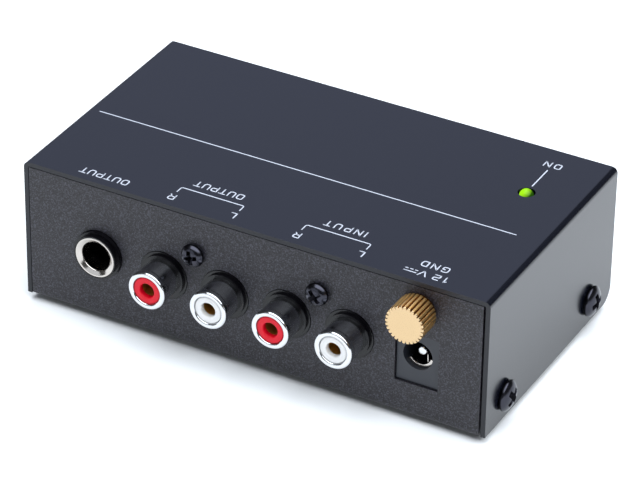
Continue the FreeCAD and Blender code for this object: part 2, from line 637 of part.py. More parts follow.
def make_led_spacer():
    """Tall spacer that carries the lamp from the board up to the cover."""
    height = TOP_Z + LED_OUT - LED_L - BOARD_TOP_Z
    spacer = Part.makeCylinder(SPACER_R, height)
    for s in (-1, 1):
        spacer = spacer.cut(Part.makeCylinder(LED_LEAD_R + SPACER_LEAD_CLEAR, height,
                                              Vec(s * LED_LEAD_SPACING / 2, 0, 0)))
    return placed(spacer, LED_X, PANEL_Y + LED_Y, BOARD_TOP_Z)


def on_board(shape, place):
    return placed(shape, place[0], PANEL_Y + place[1], BOARD_TOP_Z)


def make_op_amps():
    """Dual in-line packages with a notch and bent pins that stand on the board."""
    chips = []
    pin_w = OP_AMP_PITCH / 5
    for place in OP_AMP_PLACES:
        half_w = OP_AMP_W / 2
        body = box((-OP_AMP_L / 2, -half_w, OP_AMP_LIFT), (OP_AMP_L / 2, half_w, OP_AMP_LIFT + OP_AMP_H))
        notch = Part.makeCylinder(OP_AMP_PITCH / 3, OP_AMP_H, Vec(-OP_AMP_L / 2, 0, OP_AMP_LIFT + OP_AMP_H / 2))
        body = body.cut(notch)
        mid_z = OP_AMP_LIFT + OP_AMP_H / 2
        pins = []
        for i in range(OP_AMP_PINS):
            x = (i - (OP_AMP_PINS - 1) / 2) * OP_AMP_PITCH
            for side in (-1, 1):
                low, high = sorted((side * (half_w - pin_w), side * (half_w + pin_w)))
                pins.append(box((x - pin_w / 2, low, mid_z - pin_w / 2), (x + pin_w / 2, high, mid_z)))
                low, high = sorted((side * half_w, side * (half_w + pin_w)))
                pins.append(box((x - pin_w / 2, low, 0), (x + pin_w / 2, high, mid_z)))
        chips.append(on_board(body.fuse(pins).removeSplitter(), place))
    return chips


def make_voltage_regulator():
    """Upright power package: moulded body, drilled metal tab and three legs."""
    half = REGULATOR_W / 2
    top = REGULATOR_LEG_H + REGULATOR_BODY_H
    body = box((-half, 0, REGULATOR_LEG_H), (half, REGULATOR_BODY_D, top))
    tab = box((-half, REGULATOR_BODY_D - REGULATOR_TAB_T, top - 1), (half, REGULATOR_BODY_D, top + REGULATOR_TAB_H))
    hole = Part.makeCylinder(REGULATOR_HOLE_R, REGULATOR_BODY_D, Vec(0, 0, top + REGULATOR_TAB_H / 2),
                             Vec(0, 1, 0))
    leg_w = REGULATOR_W / 12
    pieces = [tab.cut(hole)]
    for i in (-1, 0, 1):
        x = i * OP_AMP_PITCH
        pieces.append(box((x - leg_w / 2, REGULATOR_BODY_D / 2, 0),
                          (x + leg_w / 2, REGULATOR_BODY_D / 2 + leg_w, REGULATOR_LEG_H + 1)))
    return on_board(body.fuse(pieces).removeSplitter(), REGULATOR_PLACE)


def make_electrolytic_capacitors():
    """Upright cans with the rolled groove near the base."""
    cans = []
    r = CAPACITOR_R
    g = CAPACITOR_GROOVE
    for place in CAPACITOR_PLACES:
        can = turned((0, 0), (r, 0), (r, 3 * g), (r - g, 4 * g), (r, 5 * g),
                     (r, CAPACITOR_H - g), (r - g, CAPACITOR_H), (0, CAPACITOR_H))
        cans.append(on_board(can, place))
    return cans


def make_film_capacitors():
    """Row of box-type film capacitors for the equaliser network."""
    blocks = []
    for i in range(FILM_COUNT):
        block = box((-FILM_W / 2, -FILM_D / 2, 0), (FILM_W / 2, FILM_D / 2, FILM_H))
        block = fillet(block, FILM_EDGE, 2, lambda m: True)
        blocks.append(on_board(block, (FILM_FIRST[0] + i * FILM_STEP, FILM_FIRST[1])))
    return blocks


def axial_part(radius, length):
    """Lying body along Y on a flat lead folded down at both ends to stand on the board."""
    half = LEAD_SPAN / 2
    top = RESISTOR_LIFT + LEAD_W / 2
    outline = [(-half, 0), (-half, top), (half, top), (half, 0), (half - LEAD_W, 0),
               (half - LEAD_W, top - LEAD_W), (LEAD_W - half, top - LEAD_W), (LEAD_W - half, 0)]
    points = [Vec(-LEAD_W / 2, y, z) for y, z in outline]
    lead = Part.Face(Part.makePolygon(points + points[:1])).extrude(Vec(LEAD_W, 0, 0))
    body = Part.makeCylinder(radius, length, Vec(0, -length / 2, RESISTOR_LIFT), Vec(0, 1, 0))
    return body.fuse(lead)


def make_resistors():
    return [on_board(axial_part(RESISTOR_R, RESISTOR_L),
                     (RESISTOR_FIRST[0] + i * RESISTOR_STEP, RESISTOR_FIRST[1]))
            for i in range(RESISTOR_COUNT)]


def make_guard_diode():
    return on_board(axial_part(DIODE_R, DIODE_L), DIODE_PLACE)


def write_step(name, shape):
    solids = shape if isinstance(shape, list) else [shape]
    compound = Part.makeCompound(solids) if len(solids) > 1 else solids[0]
    compound.exportStep(os.path.join("parts", name + ".step"))
    volume = sum(s.Volume for s in solids)
    valid = all(s.isValid() for s in solids)
    print(f"{name}: {sum(len(s.Solids) for s in solids)} solids, {volume:.1f} mm3, valid {valid}")


def build():
    os.makedirs("parts", exist_ok=True)
    write_step("top_cover", make_top_cover())
    write_step("base_chassis", make_base_chassis())
    write_step("cover_screws", make_cover_screws())
    write_step("rubber_feet", make_rubber_feet())
    write_step("circuit_board", make_circuit_board())
    write_step("board_standoffs", make_board_standoffs())
    write_step("board_screws", make_board_screws())
    write_step("phone_jack_housing", make_phone_jack_housing())
    write_step("phone_jack_ferrule", make_phone_jack_ferrule())
    write_step("phone_jack_contacts", make_phone_jack_contacts())
    write_step("output_rca_housing", make_rca_housing(0))
    write_step("input_rca_housing", make_rca_housing(2))
    for name, x in zip(("output_right", "output_left", "input_right", "input_left"), rca_xs()):
        write_step(name + "_shell", make_rca_shell(x))
        write_step(name + "_insulator", make_rca_insulator(x))
    write_step("rca_centre_contacts", make_rca_centre_contacts())
    write_step("rca_housing_screws", make_rca_housing_screws())
    write_step("dc_socket_housing", make_dc_socket_housing())
    write_step("dc_socket_pin", make_dc_socket_pin())
    write_step("dc_socket_spring", make_dc_socket_spring())
    write_step("ground_bush", make_ground_bush())
    write_step("captive_washer", make_captive_washer())
    write_step("ground_thumbscrew", make_ground_thumbscrew())
    write_step("power_led", make_power_led())
    write_step("led_spacer", make_led_spacer())
    write_step("op_amps", make_op_amps())
    write_step("voltage_regulator", make_voltage_regulator())
    write_step("electrolytic_capacitors", make_electrolytic_capacitors())
    write_step("film_capacitors", make_film_capacitors())
    write_step("resistors", make_resistors())
    write_step("guard_diode", make_guard_diode())


build()
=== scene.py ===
import math

import bmesh
import bpy
from bpy.props import FloatProperty, IntProperty, PointerProperty
from mathutils import Matrix, Vector


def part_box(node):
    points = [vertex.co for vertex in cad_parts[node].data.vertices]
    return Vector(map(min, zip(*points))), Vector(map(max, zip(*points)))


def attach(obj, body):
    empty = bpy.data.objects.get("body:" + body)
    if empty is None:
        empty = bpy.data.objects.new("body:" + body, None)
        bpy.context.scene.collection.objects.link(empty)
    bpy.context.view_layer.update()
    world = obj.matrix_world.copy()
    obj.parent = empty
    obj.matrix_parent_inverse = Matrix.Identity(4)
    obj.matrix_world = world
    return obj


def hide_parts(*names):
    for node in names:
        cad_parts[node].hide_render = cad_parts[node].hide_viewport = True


# Look of a small phono preamp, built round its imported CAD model. Sizes in this file are in
# millimetres, in the model's frame, and MM turns them into metres.

bl_info = {
    "name": "Phono Preamp",
    "version": (1, 0, 0),
    "blender": (4, 5, 0),
    "location": "3D View > Sidebar > Preamp",
    "description": "Builds the look of a small phono preamp round its CAD frame",
    "category": "Add Mesh",
}

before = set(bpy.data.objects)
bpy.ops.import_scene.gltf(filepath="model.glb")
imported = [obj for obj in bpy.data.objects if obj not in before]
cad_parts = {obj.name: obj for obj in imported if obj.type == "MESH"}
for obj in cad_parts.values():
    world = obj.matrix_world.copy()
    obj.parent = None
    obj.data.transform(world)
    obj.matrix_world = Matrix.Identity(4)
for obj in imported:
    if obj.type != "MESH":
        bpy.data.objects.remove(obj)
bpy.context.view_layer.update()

MM = 0.001
TINY = 1e-6                 # lengths and radii below this count as none
WELD = 1e-5                 # mesh points closer than this become one
FACING_FRONT = Matrix.Rotation(math.radians(90), 4, "X")
FACING_RIGHT = Matrix.Rotation(math.radians(90), 4, "Y")
FACING_LEFT = Matrix.Rotation(math.radians(-90), 4, "Y")
FACING_UP = Matrix.Identity(4)
SOCKETS = ("output_right", "output_left", "input_right", "input_left")


# Colours and material nodes

def srgb(text):
    """Linear RGBA from an sRGB hex colour."""
    channels = [int(text[i:i + 2], 16) / 255 for i in (1, 3, 5)]
    return [c / 12.92 if c <= 0.04045 else ((c + 0.055) / 1.055) ** 2.4
            for c in channels] + [1.0]


def add_node(tree, kind, links=None, **settings):
    """One shader node; settings name its properties or its input sockets, links its inputs."""
    node = tree.nodes.new(kind)
    for key, value in settings.items():
        if hasattr(node, key):
            setattr(node, key, value)
        else:
            node.inputs[key.replace("_", " ")].default_value = value
    for socket, source in (links or {}).items():
        tree.links.new(source, node.inputs[socket])
    return node


def new_material(name, color, roughness, **settings):
    """Material with a principled shader; returns it with its tree and shader."""
    material = bpy.data.materials.new(name)
    material.use_nodes = True
    tree = material.node_tree
    shader = tree.nodes["Principled BSDF"]
    shader.inputs["Base Color"].default_value = srgb(color)
    shader.inputs["Roughness"].default_value = roughness
    for key, value in settings.items():
        shader.inputs[key.replace("_", " ")].default_value = value
    return material, tree, shader


def grain(tree, size, detail=2.0):
    """Noise whose blotches are about size millimetres across."""
    place = add_node(tree, "ShaderNodeTexCoord")
    return add_node(tree, "ShaderNodeTexNoise", {"Vector": place.outputs["Object"]},
                    Scale=1 / (size * MM), Detail=detail)


def bump(tree, shader, source, depth, strength):
    """Bump of depth millimetres from a height value, joined to the shader's normal."""
    node = add_node(tree, "ShaderNodeBump", {"Height": source}, Strength=strength,
                    Distance=depth * MM)
    tree.links.new(node.outputs["Normal"], shader.inputs["Normal"])


def blend_colors(tree, factor, low, high, start, end):
    """Colour that goes from low to high as factor goes from start to end."""
    ramp = add_node(tree, "ShaderNodeValToRGB", {"Fac": factor})
    ramp.color_ramp.elements[0].position = start
    ramp.color_ramp.elements[1].position = end
    ramp.color_ramp.elements[0].color = srgb(low)
    ramp.color_ramp.elements[1].color = srgb(high)
    return ramp.outputs["Color"]


def satin_enamel():
    """Smooth black satin enamel, sprayed and baked: nearly black, it shows the room softly."""
    material, tree, shader = new_material("sprayed_satin_enamel", "#090B14", 0.21, IOR=1.52)
    peel = grain(tree, size=0.7, detail=3.0)
    bump(tree, shader, peel.outputs["Fac"], depth=0.004, strength=0.5)
    return material


def edge_enamel():
    """The same enamel where it has drawn thin and dull over the sheet's cut edges."""
    material, _, _ = new_material("thin_enamel_on_cut_edge", "#14151B", 0.5, IOR=1.42)
    return material


def textured_coat():
    """Baked powder coat with a fine sandy texture; its high points are painted as small pale
    specks, a painted highlight.
    """
    material, tree, shader = new_material("textured_powder_coat", "#17181C", 0.5, IOR=1.45)
    grit_and_painted_glint = grain(tree, size=0.26, detail=4.0)
    # painted highlight: the pale end of this ramp lights the grain's high points
    color = blend_colors(tree, grit_and_painted_glint.outputs["Fac"], "#0A080D", "#413F4A", start=0.46, end=0.72)
    tree.links.new(color, shader.inputs["Base Color"])
    bump(tree, shader, grit_and_painted_glint.outputs["Fac"], depth=0.1, strength=0.9)
    return material


def moulded_plastic(name, color, roughness, gloss=1.5):
    """Moulded plastic with the mould's fine eroded grain; gloss is its index of refraction."""
    material, tree, shader = new_material(name, color, roughness, IOR=gloss)
    bump(tree, shader, grain(tree, size=0.15).outputs["Fac"], depth=0.004, strength=0.5)
    return material


def plated_metal(name, color, roughness):
    """Plated metal, whose faint waves come from the turning under the plating."""
    material, tree, shader = new_material(name, color, roughness, Metallic=1.0)
    bump(tree, shader, grain(tree, size=0.5).outputs["Fac"], depth=0.001, strength=0.5)
    return material


def turned_brass():
    """Turned brass: a pale faced end, yellow knurled flanks, and brown in the valleys that is
    partly oxide and partly painted shade.
    """
    valley, ridge = 0.5 * MM, 0.05 * MM             # depths below the crests, from brown oxide and painted shade to yellow
    face_end, flank_start = 0.1 * MM, 0.3 * MM      # depths behind the faced end
    face_roughness, flank_roughness = 0.2, 0.32
    material, tree, shader = new_material("turned_brass", "#C2A784", face_roughness, Metallic=1.0)
    low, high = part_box("ground_thumbscrew")
    crest = (high.x - low.x) / 2
    place = add_node(tree, "ShaderNodeTexCoord")
    off_axis = add_node(tree, "ShaderNodeVectorMath", {"Vector": place.outputs["Object"]},
                        operation="SUBTRACT")
    off_axis.inputs[1].default_value = (low + high) / 2
    across = add_node(tree, "ShaderNodeVectorMath", {"Vector": off_axis.outputs["Vector"]},
                      operation="MULTIPLY")
    across.inputs[1].default_value = (1, 0, 1)
    radius = add_node(tree, "ShaderNodeVectorMath", {"Vector": across.outputs["Vector"]},
                      operation="LENGTH")
    height = add_node(tree, "ShaderNodeMapRange", {"Value": radius.outputs["Value"]},
                      From_Min=crest - valley, From_Max=crest - ridge)
    # the valleys' brown is partly oxide and partly painted shade between the ridges
    flank = blend_colors(tree, height.outputs["Result"], "#5E3A14", "#EFC07C", start=0.1, end=0.9)
    axes = add_node(tree, "ShaderNodeSeparateXYZ", {"Vector": place.outputs["Object"]})
    behind = add_node(tree, "ShaderNodeMapRange", {"Value": axes.outputs["Y"]},
                      From_Min=low.y + face_end, From_Max=low.y + flank_start)
    tone_and_painted_shade = add_node(tree, "ShaderNodeMixRGB", {"Fac": behind.outputs["Result"], "Color2": flank},
                    Color1=srgb("#C1A680"))
    tree.links.new(tone_and_painted_shade.outputs["Color"], shader.inputs["Base Color"])
    dull = add_node(tree, "ShaderNodeMapRange", {"Value": behind.outputs["Result"]},
                    To_Min=face_roughness, To_Max=flank_roughness)
    tree.links.new(dull.outputs["Result"], shader.inputs["Roughness"])
    return material


def lit_epoxy():
    """Clear tinted lamp epoxy, cast and lit from inside: bright towards the dome's top and left, a
    painted highlight on the lit lamp, and green below.
    """
    dome = 1.5 * MM
    dim, bright = 0.25 * MM, 1.55 * MM      # from the dome's centre towards its painted highlight
    painted_highlight_way = Vector((-0.5, -0.25, 0.83))
    material, tree, shader = new_material("lit_lamp_epoxy", "#1E3C06", 0.2, IOR=1.2)
    place = add_node(tree, "ShaderNodeTexCoord")
    low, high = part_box("power_led")
    centre = Vector(((low.x + high.x) / 2, (low.y + high.y) / 2, high.z - dome))
    along = add_node(tree, "ShaderNodeVectorMath", {"Vector": place.outputs["Object"]},
                     operation="DOT_PRODUCT")
    along.inputs[1].default_value = painted_highlight_way
    start = centre.dot(painted_highlight_way)
    height = add_node(tree, "ShaderNodeMapRange", {"Value": along.outputs["Value"]},
                      From_Min=start + dim, From_Max=start + bright)
    # painted highlight: the emission is brightest towards the dome's upper left
    glow_and_painted_highlight = blend_colors(tree, height.outputs["Result"], "#0A2A00", "#A9F01A", start=0.0, end=0.8)
    tree.links.new(glow_and_painted_highlight, shader.inputs["Emission Color"])
    shader.inputs["Emission Strength"].default_value = 1.05
    return material


def print_ink():
    """Screen-printed ink, thin and matt, a light grey on the black enamel."""
    material, _, _ = new_material("screen_printed_ink", "#BABECA", 0.55, IOR=1.5)
    return material


def board_lacquer():
    """Glass-epoxy board under green solder lacquer, with the weave just showing."""
    material, tree, shader = new_material("solder_lacquer_on_glass_epoxy", "#0E4A24", 0.35, IOR=1.5)
    bump(tree, shader, grain(tree, size=0.4).outputs["Fac"], depth=0.01, strength=0.4)
    return material


def make_materials():
    """Every finish, by the name that the pieces ask for."""
    return {
        "cover": satin_enamel(),
        "chassis": textured_coat(),
        "ink": print_ink(),
        "edge": edge_enamel(),
        "power": moulded_plastic("moulded_nylon_black", "#20232B", 0.5),
        "housing": moulded_plastic("moulded_pbt", "#060508", 0.24, 1.38),
        "red": moulded_plastic("moulded_red_polypropylene", "#C8001E", 0.45, 1.34),
        "white": moulded_plastic("moulded_white_polypropylene", "#D6D5D4", 0.4),
        "nickel": plated_metal("bright_nickel_plate", "#C8C9CB", 0.15),
        "ring": plated_metal("satin_nickel_plate", "#B8B2AC", 0.17),
        "zinc": plated_metal("bright_zinc_plate", "#C3C8CE", 0.28),
        "screw": plated_metal("black_oxide_steel", "#3A3A41", 0.25),
        "brass": turned_brass(),
        "contact": plated_metal("rolled_contact_brass", "#EABF6C", 0.45),
        "lamp": lit_epoxy(),
        "rubber": moulded_plastic("moulded_rubber", "#0E0E0E", 0.75),
        "board": board_lacquer(),
        "nylon": moulded_plastic("moulded_natural_nylon", "#D8D5C9", 0.45),
        "chip": moulded_plastic("transfer_moulded_epoxy", "#141416", 0.6),
        "sleeve": moulded_plastic("shrunk_pvc_sleeve", "#15203A", 0.3),
        "film": moulded_plastic("moulded_capacitor_case", "#8E2018", 0.35),
        "resistor": moulded_plastic("dipped_resistor_lacquer", "#5E8C9C", 0.4),
        "diode": moulded_plastic("moulded_diode_epoxy", "#0C0C0D", 0.4),
    }


MATERIALS = {}


# Mesh building

def soften(points, radius, steps=4):
    """Open outline whose corners become curves; a third number on a point is its own radius."""
    most = 0.48                 # share of a side that one corner may take
    out = [Vector(points[0][:2])]
    for before, corner, after in zip(points, points[1:], points[2:]):
        a, c, b = Vector(before[:2]), Vector(corner[:2]), Vector(after[:2])
        own = corner[2] if len(corner) > 2 else radius
        reach = min(own, (a - c).length * most, (b - c).length * most)
        if reach < TINY:
            out.append(c)
            continue
        start = c + (a - c).normalized() * reach
        end = c + (b - c).normalized() * reach
        for i in range(steps + 1):
            t = i / steps
            out.append(start.lerp(c, t).lerp(c.lerp(end, t), t))
    out.append(Vector(points[-1][:2]))
    return out


def turned(bm, outline, segments=96, wobble=None):
    """Surface turned about local Z from (radius, height) points; wobble changes the radius."""
    rows = []
    for radius, height in outline:
        if radius < TINY:
            rows.append([bm.verts.new((0, 0, height))])
            continue
        row = []
        for i in range(segments):
            angle = 2 * math.pi * i / segments
            r = wobble(radius, height, angle) if wobble else radius
            row.append(bm.verts.new((r * math.cos(angle), r * math.sin(angle), height)))
        rows.append(row)
    for low, high in zip(rows, rows[1:]):
        for i in range(segments):
            j = (i + 1) % segments
            corners = [low[i % len(low)], low[j % len(low)],
                       high[j % len(high)], high[i % len(high)]]
            corners = [v for n, v in enumerate(corners) if v not in corners[:n]]
            if len(corners) > 2:
                bm.faces.new(corners)
    bmesh.ops.remove_doubles(bm, verts=bm.verts[:], dist=WELD)


def prism(bm, outline, axis, low, high):
    """Block with a 2-D outline across one axis (0, 1 or 2), from low to high along it."""
    rings = []
    for along in (low, high):
        ring = []
        for u, v in outline:
            place = [u, v]
            place.insert(axis, along)
            ring.append(bm.verts.new(place))
        rings.append(ring)
    bm.faces.new(rings[0])
    bm.faces.new(rings[1])
    count = len(outline)
    for i in range(count):
        j = (i + 1) % count
        bm.faces.new((rings[0][i], rings[0][j], rings[1][j], rings[1][i]))


def taper(bm, half_x, half_y, end_x, end_y, top, bottom):
    """Bar along local Z that narrows from (half_x, half_y) at the top to its end."""
    rings = []
    for x, y, z in ((half_x, half_y, top), (end_x, end_y, bottom)):
        rings.append([bm.verts.new(p) for p in ((-x, -y, z), (x, -y, z), (x, y, z), (-x, y, z))])
    bm.faces.new(rings[0])
    bm.faces.new(rings[1])
    for i in range(4):
        j = (i + 1) % 4
        bm.faces.new((rings[0][i], rings[0][j], rings[1][j], rings[1][i]))


def arc(centre, radius, start, end, steps=10):
    """Points on an arc between two angles in degrees."""
    angles = [math.radians(start + (end - start) * i / steps) for i in range(steps + 1)]
    return [(centre[0] + radius * math.cos(a), centre[1] + radius * math.sin(a)) for a in angles]


def to_object(name, bm, matrix=FACING_UP):
    """Object from a millimetre mesh, placed by matrix and turned into metres."""
    bmesh.ops.recalc_face_normals(bm, faces=bm.faces[:])
    for face in bm.faces:
        face.smooth = True
    mesh = bpy.data.meshes.new(name)
    bm.to_mesh(mesh)
    bm.free()
    mesh.transform(Matrix.Scale(MM, 4) @ matrix)
    obj = bpy.data.objects.new(name, mesh)
    bpy.context.scene.collection.objects.link(obj)
    return obj


def carve(obj, cutters):
    """Take the cutters out of the object for good."""
    for cutter in cutters:
        cut = obj.modifiers.new("cut", "BOOLEAN")
        cut.operation = "DIFFERENCE"
        cut.solver = "EXACT"
        cut.object = cutter
    bpy.context.view_layer.update()
    seen = obj.evaluated_get(bpy.context.evaluated_depsgraph_get())
    mesh = bpy.data.meshes.new_from_object(seen)
    obj.modifiers.clear()
    obj.data = mesh
    for cutter in cutters:
        bpy.data.objects.remove(cutter)
    for polygon in obj.data.polygons:
        polygon.use_smooth = True


def soften_edges(obj, width, segments=2, angle=30):
    """Small rounding on every edge sharper than angle, in millimetres."""
    edge = obj.modifiers.new("edges", "BEVEL")
    edge.width = width * MM
    edge.segments = segments
    edge.limit_method = "ANGLE"
    edge.angle_limit = math.radians(angle)


def even_normals(obj):
    """Flat faces stay flat to the light beside their rounded edges."""
    obj.modifiers.new("normals", "WEIGHTED_NORMAL").keep_sharp = True


def finish_piece(obj, material, stands_for=(), body="case"):
    """Give a piece its finish and tie it to the CAD frame."""
    obj.data.materials.clear()
    obj.data.materials.append(MATERIALS[material])
    even_normals(obj)
    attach(obj, body)
    if stands_for:
        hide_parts(*stands_for)
    return obj


def box_of(node):
    """Two corners of a CAD node's box, in millimetres."""
    low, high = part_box(node)
    return low / MM, high / MM


def middle(node):
    """Middle of a CAD node's box, in millimetres."""
    low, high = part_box(node)
    return (low + high) / 2 / MM


def front_radius(low, high):
    """Radius of a round piece that faces the front, from its box."""
    return (high.x - low.x) / 2


def place_at(facing, x, y, z):
    """Matrix that turns local Z to a facing and puts the origin at a place in millimetres."""
    return Matrix.Translation((x, y, z)) @ facing


def island_boxes(node):
    """Boxes of a CAD node's separate solids, in millimetres, from left to right, front to back."""
    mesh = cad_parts[node].data
    grid = 1e7                  # steps in a metre; points on the same step are one point
    links = {v.index: set() for v in mesh.vertices}
    same = {}
    for v in mesh.vertices:
        key = tuple(round(c * grid) for c in v.co)
        same.setdefault(key, []).append(v.index)
    for group in same.values():
        for index in group[1:]:
            links[group[0]].add(index)
            links[index].add(group[0])
    for edge in mesh.edges:
        a, b = edge.vertices
        links[a].add(b)
        links[b].add(a)
    boxes = []
    left = set(links)
    while left:
        reach = [left.pop()]
        points = []
        while reach:
            index = reach.pop()
            points.append(mesh.vertices[index].co / MM)
            for other in links[index] & left:
                left.discard(other)
                reach.append(other)
        low = Vector([min(p[i] for p in points) for i in range(3)])
        high = Vector([max(p[i] for p in points) for i in range(3)])
        boxes.append((low, high))
    return sorted(boxes, key=lambda b: (round(b[0].x, 1), round(b[0].y, 1)))


# Sizes that the panel in the sidebar offers

class PreampCase(bpy.types.PropertyGroup):
    """Folded sheet-steel case."""
    sheet: FloatProperty(name="Sheet", description="Thickness of the steel sheet, in millimetres",
                         default=1.0, min=0.5, max=2.0)
    bend: FloatProperty(name="Bend", description="Outside radius of each fold, in millimetres",
                        default=1.3, min=1.0, max=3.0)
    corner: FloatProperty(name="Wall corner",
                          description="Rounding of a wall's lower far corner, in millimetres",
                          default=3.5, min=0.5, max=8.0)
    edge: FloatProperty(name="Cut edge",
                        description="Rounding that the paint gives a cut edge, in millimetres",
                        default=0.12, min=0.02, max=0.3)


class PreampScrews(bpy.types.PropertyGroup):
    """Pan-head screws with a cross recess."""
    recess: FloatProperty(name="Recess",
                          description="Half length of the cross recess, in head radii",
                          default=0.68, min=0.4, max=0.8)
    slot_width: FloatProperty(name="Recess width",
                              description="Width of the recess's arms, in head radii",
                              default=0.38, min=0.2, max=0.5)
    depth: FloatProperty(name="Recess depth",
                         description="Depth of the cross recess, in millimetres",
                         default=1.3, min=0.5, max=1.8)


class PreampGround(bpy.types.PropertyGroup):
    """Knurled ground screw."""
    ridges: IntProperty(name="Ridges", description="Ridges round the knurled head",
                        default=28, min=12, max=60)
    ridge_depth: FloatProperty(name="Ridge depth",
                               description="Depth of the knurl, in millimetres",
                               default=0.5, min=0.1, max=0.8)
    pitch: FloatProperty(name="Thread pitch",
                         description="Travel of the screw in one turn, in millimetres",
                         default=0.7, min=0.35, max=1.25)


class PreampPrint(bpy.types.PropertyGroup):
    """Screen print on the cover."""
    cap: FloatProperty(name="Letter height",
                       description="Height of the capital letters, in millimetres",
                       default=2.0, min=1.0, max=4.0)
    stroke: FloatProperty(name="Stroke",
                          description="Width of the letters' strokes, in millimetres",
                          default=0.28, min=0.1, max=0.6)
    film: FloatProperty(name="Ink film", description="Thickness of the ink, in millimetres",
                        default=0.02, min=0.005, max=0.05)


class PreampStage(bpy.types.PropertyGroup):
    """Floor, lights and camera."""
    key_power: FloatProperty(name="Key light",
                             description="Power of the soft overhead light, in watts",
                             default=85.0, min=0.0, max=200.0)
    back_power: FloatProperty(name="Back light",
                              description="Power of the soft light behind, in watts",
                              default=3.65, min=0.0, max=200.0)
    front_power: FloatProperty(name="Front light",
                               description="Power of the soft light in front, in watts",
                               default=5.0, min=0.0, max=200.0)
    fill: FloatProperty(name="Room", description="Brightness of the room above the floor",
                        default=0.07, min=0.0, max=2.0)


class PreampSettings(bpy.types.PropertyGroup):
    """All the sizes that the pieces read."""
    case: PointerProperty(type=PreampCase, name="Case", description="Sizes of the folded case")
    screws: PointerProperty(type=PreampScrews, name="Screws", description="Sizes of the screws")
    ground: PointerProperty(type=PreampGround, name="Ground screw",
                            description="Sizes of the ground screw")
    ink: PointerProperty(type=PreampPrint, name="Print", description="Sizes of the print")
    stage: PointerProperty(type=PreampStage, name="Stage", description="Light and camera")


# Case

def cover_outline(left, right, foot, top, sheet, bend):
    """Section of the folded cover across X and Z: outside over the top, then back inside."""
    inner = bend - sheet
    outside = [(left, foot)] + arc((left + bend, top - bend), bend, 180, 90)
    outside += arc((right - bend, top - bend), bend, 90, 0) + [(right, foot)]
    inside = [(right - sheet, foot)] + arc((right - bend, top - bend), inner, 0, 90, 5)
    inside += arc((left + bend, top - bend), inner, 90, 180, 5) + [(left + sheet, foot)]
    return outside + inside


def round_cutter(name, radius, length, matrix):
    """Cylinder along local Z from -length to length."""
    bm = bmesh.new()
    turned(bm, [(0, -length), (radius, -length), (radius, length), (0, length)], 64)
    return to_object(name, bm, matrix)


def build_cover(sizes):
    """The folded cover with its screw holes, lamp hole and rounded wall corners."""
    screw_hole, lamp_hole = 1.7, 1.8        # radii
    over = 1                                # how far the cutters reach past the sheet
    on_end = 0.01                           # faces this near an end are the sheet's cut ends
    low, high = box_of("top_cover")
    bm = bmesh.new()
    section = cover_outline(low.x, high.x, low.z, high.z, sizes.sheet, sizes.bend)
    prism(bm, section, 1, low.y, high.y)
    cover = to_object("cover_sheet", bm)
    corner = [(high.y + over, low.z - over), (high.y - sizes.corner, low.z - over)]
    corner += arc((high.y - sizes.corner, low.z + sizes.corner), sizes.corner, 270, 360)
    corner += [(high.y + over, low.z + sizes.corner)]
    bm = bmesh.new()
    prism(bm, corner, 0, low.x - over, high.x + over)
    cutters = [to_object("corner_cutter", bm)]
    for box_low, box_high in island_boxes("cover_screws"):
        centre = (box_low + box_high) / 2
        if centre.x > 0:
            cutters.append(round_cutter("screw_hole", screw_hole, high.x - low.x,
                                        place_at(FACING_RIGHT, 0, centre.y, centre.z)))
    lamp = middle("power_led")
    cutters.append(round_cutter("lamp_hole", lamp_hole, sizes.sheet + over,
                                place_at(FACING_UP, lamp.x, lamp.y, high.z)))
    carve(cover, cutters)
    soften_edges(cover, sizes.edge, 3)
    finish_piece(cover, "cover", ["top_cover"])
    cover.data.materials.append(MATERIALS["edge"])
    for polygon in cover.data.polygons:
        y = polygon.center.y / MM
        if min(abs(y - low.y), abs(y - high.y)) < on_end:
            polygon.material_index = 1


# Screws

COVER_SCREW_DOME = 0.55                 # drop from the head's top to its shoulder
COVER_SCREW_TURNS = (20, 65, 40, 10)    # where each screw's cross came to rest, in degrees
SOCKET_SCREW_DOME = 0.4
SOCKET_SCREW_TURNS = (12, 40)


def cross_screw(name, matrix, radius, dome, sizes, turn):
    """Pan head with a cross recess on a short shank, built along local Z."""
    height, rim, rim_foot, undercut = 2.0, 0.9, 0.45, 0.35
    shank, length = 1.4, 2.6
    crown, shoulder = radius * 0.45, radius * 0.8
    outline = [(0, height), (crown, height - 0.04, 0.6), (shoulder, height - dome, 0.6),
               (radius, rim, 0.5), (radius, rim - rim_foot, 0.4), (radius - undercut, 0, 0.05),
               (shank, 0), (shank, -length), (0, -length)]
    bm = bmesh.new()
    turned(bm, soften(outline, 0.05, 8), 96)
    screw = to_object(name, bm, matrix)
    over = 0.4                          # the cutters start this far above the head
    reach = sizes.recess * radius
    half = sizes.slot_width * radius / 2
    cutters = []
    for quarter in (0, 90):
        bm = bmesh.new()
        taper(bm, reach * 1.25, half * 1.15, reach * 0.35, half * 0.7, height + over,
              height - sizes.depth)
        spin = Matrix.Rotation(math.radians(quarter + turn), 4, "Z")
        cutters.append(to_object("recess", bm, matrix @ spin))
    carve(screw, cutters)
    soften_edges(screw, 0.06)
    return screw


def build_cover_screws(sizes):
    """Two screws in each side wall."""
    walls = [corner.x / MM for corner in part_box("top_cover")]
    for n, (low, high) in enumerate(island_boxes("cover_screws")):
        centre = (low + high) / 2
        facing, wall = (FACING_RIGHT, walls[1]) if centre.x > 0 else (FACING_LEFT, walls[0])
        matrix = place_at(facing, wall, centre.y, centre.z)
        screw = cross_screw(f"cover_screw_{n + 1}", matrix, (high.z - low.z) / 2, COVER_SCREW_DOME,
                            sizes, COVER_SCREW_TURNS[n % len(COVER_SCREW_TURNS)])
        finish_piece(screw, "screw", ["cover_screws"])


